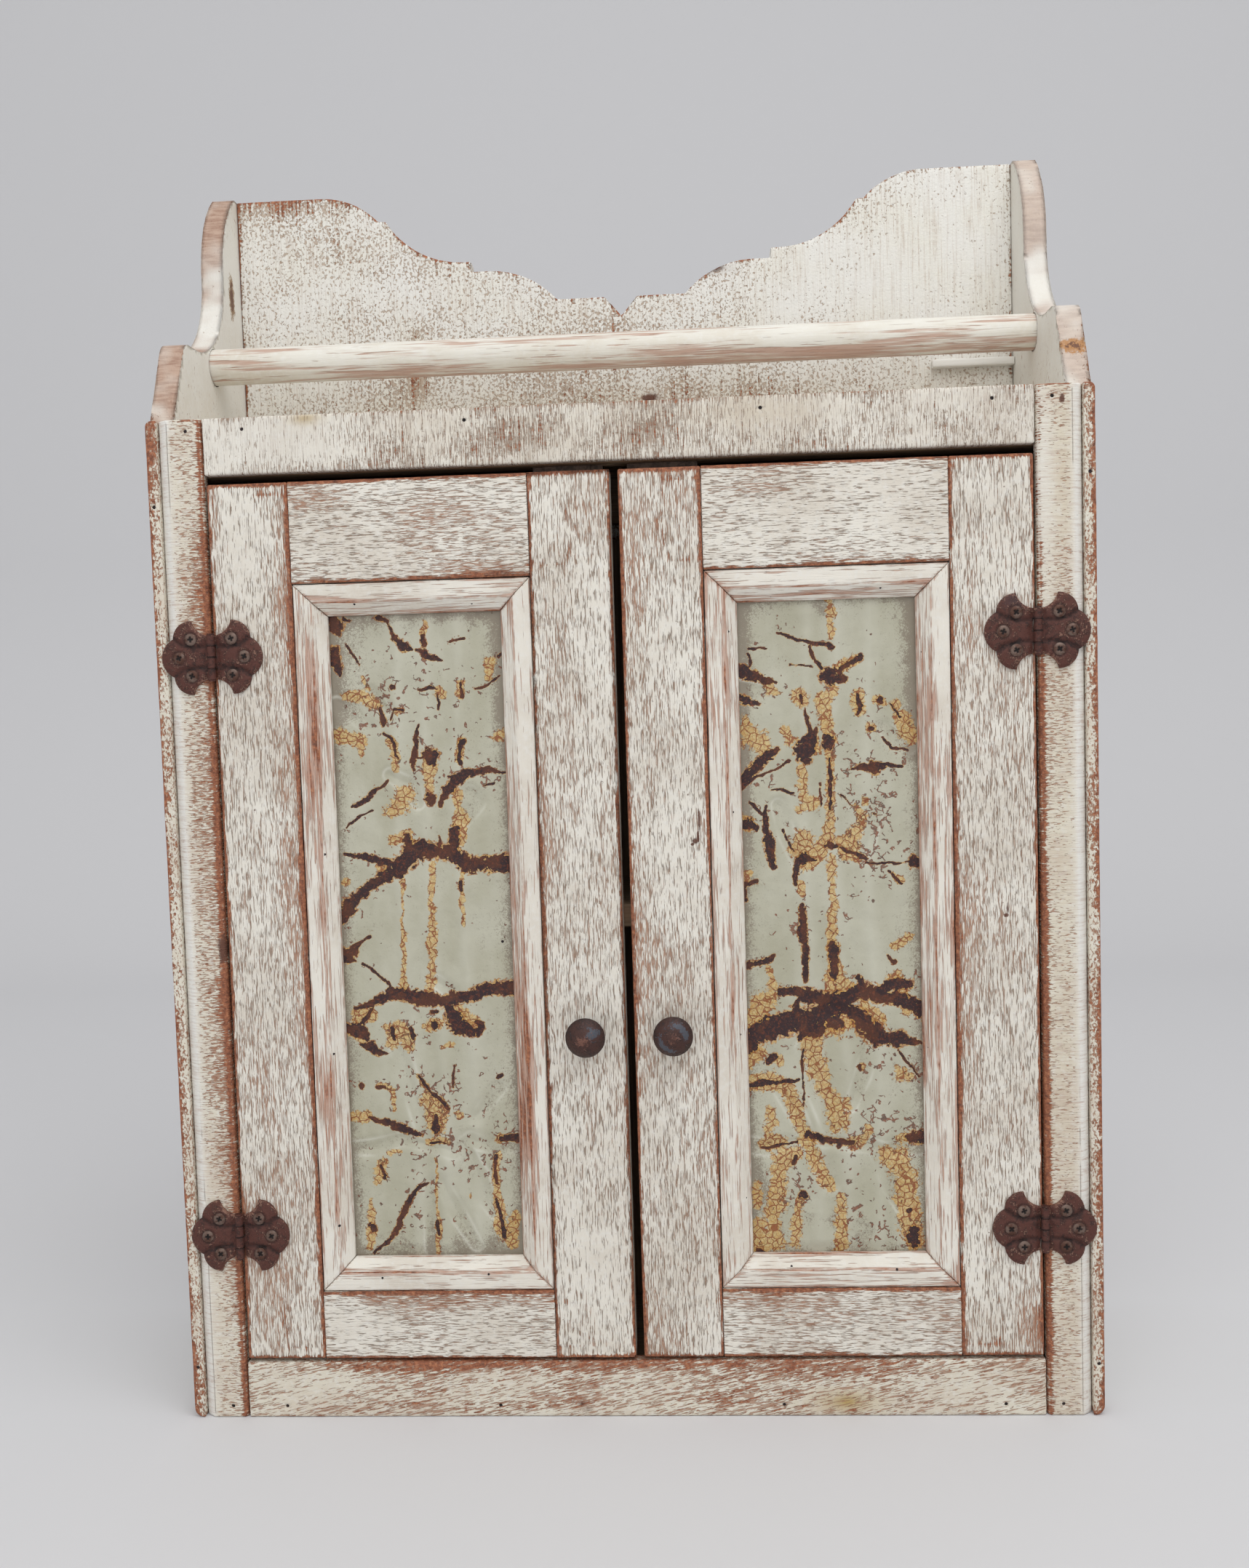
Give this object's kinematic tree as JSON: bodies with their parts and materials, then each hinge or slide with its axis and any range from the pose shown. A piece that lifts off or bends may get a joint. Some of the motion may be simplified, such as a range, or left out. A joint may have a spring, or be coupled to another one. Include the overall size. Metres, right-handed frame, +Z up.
{
  "type": "wall cabinet",
  "caption": "Shallow wall cabinet with inset tin panelled doors, an open shelf and towel bar above, scrolled sides and a scrolled crest.",
  "frame": {"origin": "under the middle of the whole cabinet, knobs included, level with its base", "axes": "+Z up, +Y towards the wall, +X to the right as seen from the front"},
  "size_m": [0.61, 0.205, 0.861],
  "materials": {
    "cream_paint": "worn cream paint over rough sawn reddish brown boards",
    "white_paint": "flaking white paint over wire brushed brown wood",
    "bare_wood": "bare aged wood",
    "rusty_iron": "dark rust brown",
    "dark_iron": "dark brown patina",
    "painted_tin": "pale grey green paint, cracked over rust",
    "screw_steel": "dull steel",
    "catch_plastic": "brown moulded"
  },
  "bodies": {
    "case": {"left_side": "cream_paint", "right_side": "cream_paint", "top_board": "cream_paint", "bottom_board": "cream_paint", "shelf": "cream_paint", "crest_board": "cream_paint", "back_board_left": "bare_wood", "back_board_right": "bare_wood", "hanging_rail": "bare_wood", "catch_rail": "cream_paint", "back_ledge": "cream_paint", "towel_bar": "cream_paint", "face_stile_left": "cream_paint", "face_stile_right": "cream_paint", "edge_strip_left": "cream_paint", "edge_strip_right": "cream_paint", "face_rail_top": "cream_paint", "face_rail_bottom": "cream_paint", "hinge_leaf_upper_left": "rusty_iron", "hinge_leaf_lower_left": "rusty_iron", "hinge_leaf_upper_right": "rusty_iron", "hinge_leaf_lower_right": "rusty_iron", "hinge_pins": "rusty_iron", "case_screws": "screw_steel", "face_nails": "rusty_iron", "magnetic_catches": "catch_plastic"},
    "left_door": {"left_hinge_stile": "white_paint", "left_lock_stile": "white_paint", "left_top_rail": "white_paint", "left_bottom_rail": "white_paint", "left_moulding_top": "white_paint", "left_moulding_bottom": "white_paint", "left_moulding_outer": "white_paint", "left_moulding_inner": "white_paint", "left_tin_panel": "painted_tin", "left_backer": "bare_wood", "left_door_leaf_upper": "rusty_iron", "left_door_leaf_lower": "rusty_iron", "left_door_screws": "screw_steel", "left_knob": "dark_iron", "left_knob_bolt": "screw_steel", "left_strike": "screw_steel"},
    "right_door": {"right_hinge_stile": "white_paint", "right_lock_stile": "white_paint", "right_top_rail": "white_paint", "right_bottom_rail": "white_paint", "right_moulding_top": "white_paint", "right_moulding_bottom": "white_paint", "right_moulding_outer": "white_paint", "right_moulding_inner": "white_paint", "right_tin_panel": "painted_tin", "right_backer": "bare_wood", "right_door_leaf_upper": "rusty_iron", "right_door_leaf_lower": "rusty_iron", "right_door_screws": "screw_steel", "right_knob": "dark_iron", "right_knob_bolt": "screw_steel", "right_strike": "screw_steel"}
  },
  "joints": [
    {"name": "left_door_swing", "type": "hinge", "parent": "case", "child": "left_door", "pos_m": [-0.2668, -0.08355, 0.321], "axis": [0, 0, -1], "range_deg": [0, 170]},
    {"name": "right_door_swing", "type": "hinge", "parent": "case", "child": "right_door", "pos_m": [0.2668, -0.08355, 0.321], "axis": [0, 0, 1], "range_deg": [0, 170]}
  ]
}
